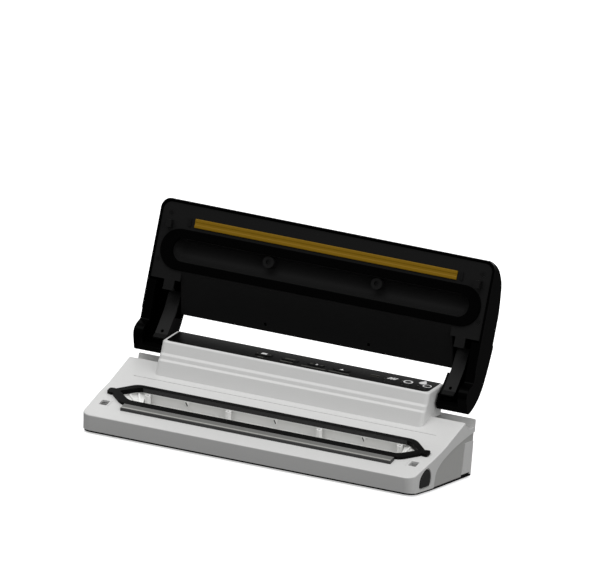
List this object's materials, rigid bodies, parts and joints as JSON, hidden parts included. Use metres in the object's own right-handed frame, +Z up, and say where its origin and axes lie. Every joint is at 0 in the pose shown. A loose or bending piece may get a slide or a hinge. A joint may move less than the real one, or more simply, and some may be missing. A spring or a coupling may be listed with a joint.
{
  "type": "vacuum sealer",
  "caption": "Household vacuum sealer: wedge base with gasketed chamber and sealing bar, raised control console and a hinged lid with foam gasket, seal pad and latch hooks",
  "frame": {"origin": "on the table plane, under the middle of the whole part's length and depth with the lid open", "axes": "+X to the right along the seal, +Y to the back (the hinge side), +Z up; the front and the sloping deck face -Y"},
  "size_m": [0.37, 0.1842, 0.2214],
  "materials": {
    "upper_housing": "fine-grained light grey ABS",
    "bottom_cover": "charcoal ABS",
    "rubber_feet": "matte",
    "housing_screws": "zinc plated",
    "chamber_tray": "mid-grey ABS",
    "chamber_end_inserts": "white",
    "lower_gasket": "closed-cell foam rubber",
    "sealing_bar": "heat-resistant moulding",
    "heating_wire": "flat resistance strip",
    "ptfe_tape": "coated glass cloth",
    "wire_terminals": "stamped",
    "control_panel": "gloss black",
    "panel_graphics": "printed ink",
    "control_board": "glass-epoxy board",
    "key_switches": "tact switches",
    "status_lamps": "diffused lamp bodies",
    "power_board": "paper-phenolic board",
    "board_parts": "capacitors, relay and coil",
    "transformer_core": "varnished lamination",
    "transformer_winding": "tape-wrapped winding",
    "pump_motor": "plated can",
    "pump_housing": "glass-filled nylon",
    "pump_head": "glass-filled nylon",
    "pump_diaphragm": "moulded",
    "pump_mounts": "soft",
    "vacuum_hose": "translucent silicone",
    "release_valve": "solenoid body",
    "lid_switch": "microswitch",
    "power_inlet": "two-pin inlet",
    "inlet_pins": "plated",
    "release_spring_left": "spring wire",
    "release_spring_right": "spring wire",
    "lid_cover": "gloss black ABS",
    "lid_panel": "satin black ABS",
    "upper_gasket": "closed-cell foam rubber",
    "seal_pad": "amber silicone",
    "lid_hooks": "nylon",
    "lid_bumpers": "matte",
    "lid_braces": "dark grey nylon",
    "lid_screws": "black oxide",
    "hinge_pins": "turned",
    "key_1": "gloss black",
    "key_2": "gloss black",
    "key_3": "gloss black",
    "key_4": "gloss black",
    "release_button_left": "dark grey ABS",
    "latch_plate_left": "acetal",
    "release_button_right": "dark grey ABS",
    "latch_plate_right": "acetal",
    "pump_crank": "turned"
  },
  "bodies": {
    "base": {"upper_housing": "upper_housing", "bottom_cover": "bottom_cover", "rubber_feet": "rubber_feet", "housing_screws": "housing_screws", "chamber_tray": "chamber_tray", "chamber_end_inserts": "chamber_end_inserts", "lower_gasket": "lower_gasket", "sealing_bar": "sealing_bar", "heating_wire": "heating_wire", "ptfe_tape": "ptfe_tape", "wire_terminals": "wire_terminals", "control_panel": "control_panel", "panel_graphics": "panel_graphics", "control_board": "control_board", "key_switches": "key_switches", "status_lamps": "status_lamps", "power_board": "power_board", "board_parts": "board_parts", "transformer_core": "transformer_core", "transformer_winding": "transformer_winding", "pump_motor": "pump_motor", "pump_housing": "pump_housing", "pump_head": "pump_head", "pump_diaphragm": "pump_diaphragm", "pump_mounts": "pump_mounts", "vacuum_hose": "vacuum_hose", "release_valve": "release_valve", "lid_switch": "lid_switch", "power_inlet": "power_inlet", "inlet_pins": "inlet_pins", "release_spring_left": "release_spring_left", "release_spring_right": "release_spring_right"},
    "lid": {"lid_cover": "lid_cover", "lid_panel": "lid_panel", "upper_gasket": "upper_gasket", "seal_pad": "seal_pad", "lid_hooks": "lid_hooks", "lid_bumpers": "lid_bumpers", "lid_braces": "lid_braces", "lid_screws": "lid_screws", "hinge_pins": "hinge_pins"},
    "release_left": {"release_button_left": "release_button_left", "latch_plate_left": "latch_plate_left"},
    "release_right": {"release_button_right": "release_button_right", "latch_plate_right": "latch_plate_right"},
    "crank": {"pump_crank": "pump_crank"},
    "key_body_1": {"key_1": "key_1"},
    "key_body_2": {"key_2": "key_2"},
    "key_body_3": {"key_3": "key_3"},
    "key_body_4": {"key_4": "key_4"}
  },
  "joints": [
    {"name": "lid_hinge", "type": "hinge", "parent": "base", "child": "lid", "pos_m": [0, 0.0503, 0.0767], "axis": [1, 0, 0], "range_deg": [0, 117.3]},
    {"name": "release_left_press", "type": "slide", "parent": "base", "child": "release_left", "axis": [1, 0, 0], "range_m": [0, 0.003], "stiffness_N_per_m": 400, "deforming": ["release_spring_left"]},
    {"name": "release_right_press", "type": "slide", "parent": "base", "child": "release_right", "axis": [-1, 0, 0], "range_m": [0, 0.003], "stiffness_N_per_m": 400, "deforming": ["release_spring_right"]},
    {"name": "key_1_press", "type": "slide", "parent": "base", "child": "key_body_1", "axis": [0, 0.1115, -0.9938], "range_m": [0, 0.0004], "stiffness_N_per_m": 1200},
    {"name": "key_2_press", "type": "slide", "parent": "base", "child": "key_body_2", "axis": [0, 0.1115, -0.9938], "range_m": [0, 0.0004], "stiffness_N_per_m": 1200},
    {"name": "key_3_press", "type": "slide", "parent": "base", "child": "key_body_3", "axis": [0, 0.1115, -0.9938], "range_m": [0, 0.0004], "stiffness_N_per_m": 1200},
    {"name": "key_4_press", "type": "slide", "parent": "base", "child": "key_body_4", "axis": [0, 0.1115, -0.9938], "range_m": [0, 0.0004], "stiffness_N_per_m": 1200},
    {"name": "pump_spin", "type": "hinge", "parent": "base", "child": "crank", "pos_m": [0.1, 0.026, 0.024], "axis": [1, 0, 0], "continuous": true}
  ]
}
